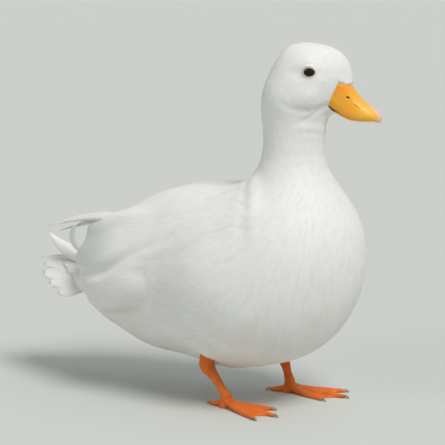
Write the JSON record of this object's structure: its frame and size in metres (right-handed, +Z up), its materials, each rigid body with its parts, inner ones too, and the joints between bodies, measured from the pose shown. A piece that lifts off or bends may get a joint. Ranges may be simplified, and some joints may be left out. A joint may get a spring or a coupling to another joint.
{
  "type": "duck",
  "caption": "Life-size standing white domestic duck with short orange bill, folded wings, fanned tail and orange webbed feet, as a still model",
  "frame": {"origin": "the middle of the bounding box in plan, on the floor under the soles", "axes": "+X forward along the duck's body, the way its breast faces; +Y the duck's left; +Z up"},
  "size_m": [0.2728, 0.128, 0.2592],
  "materials": {
    "plumage": "soft white body feathers, matte, faintly cream on the lower breast",
    "flight_feather": "smooth white flight and tail feathers, soft satin",
    "bill": "orange-yellow bill skin, satin",
    "bill_nail": "pale horn-pink nail, satin",
    "eye": "dark brown, wet gloss",
    "leg": "red-orange scaled leg and web skin, satin",
    "claw": "pale horn claws, satin"
  },
  "bodies": {
    "root": {"trunk": "plumage", "neck": "plumage", "head": "plumage", "tail_root": "plumage", "tail_fan": "flight_feather", "tail_curl_broad": "flight_feather", "tail_curl_thin": "flight_feather", "wing_left": "plumage", "wing_right": "plumage", "primaries_left": "flight_feather", "primaries_right": "flight_feather", "bill_upper": "bill", "bill_lower": "bill", "bill_nail": "bill_nail", "eye_left": "eye", "eye_right": "eye", "leg_left": "leg", "leg_right": "leg", "foot_left": "leg", "foot_right": "leg", "claw_left_inner": "claw", "claw_left_middle": "claw", "claw_left_outer": "claw", "claw_left_hind": "claw", "claw_right_inner": "claw", "claw_right_middle": "claw", "claw_right_outer": "claw", "claw_right_hind": "claw"}
  },
  "joints": []
}
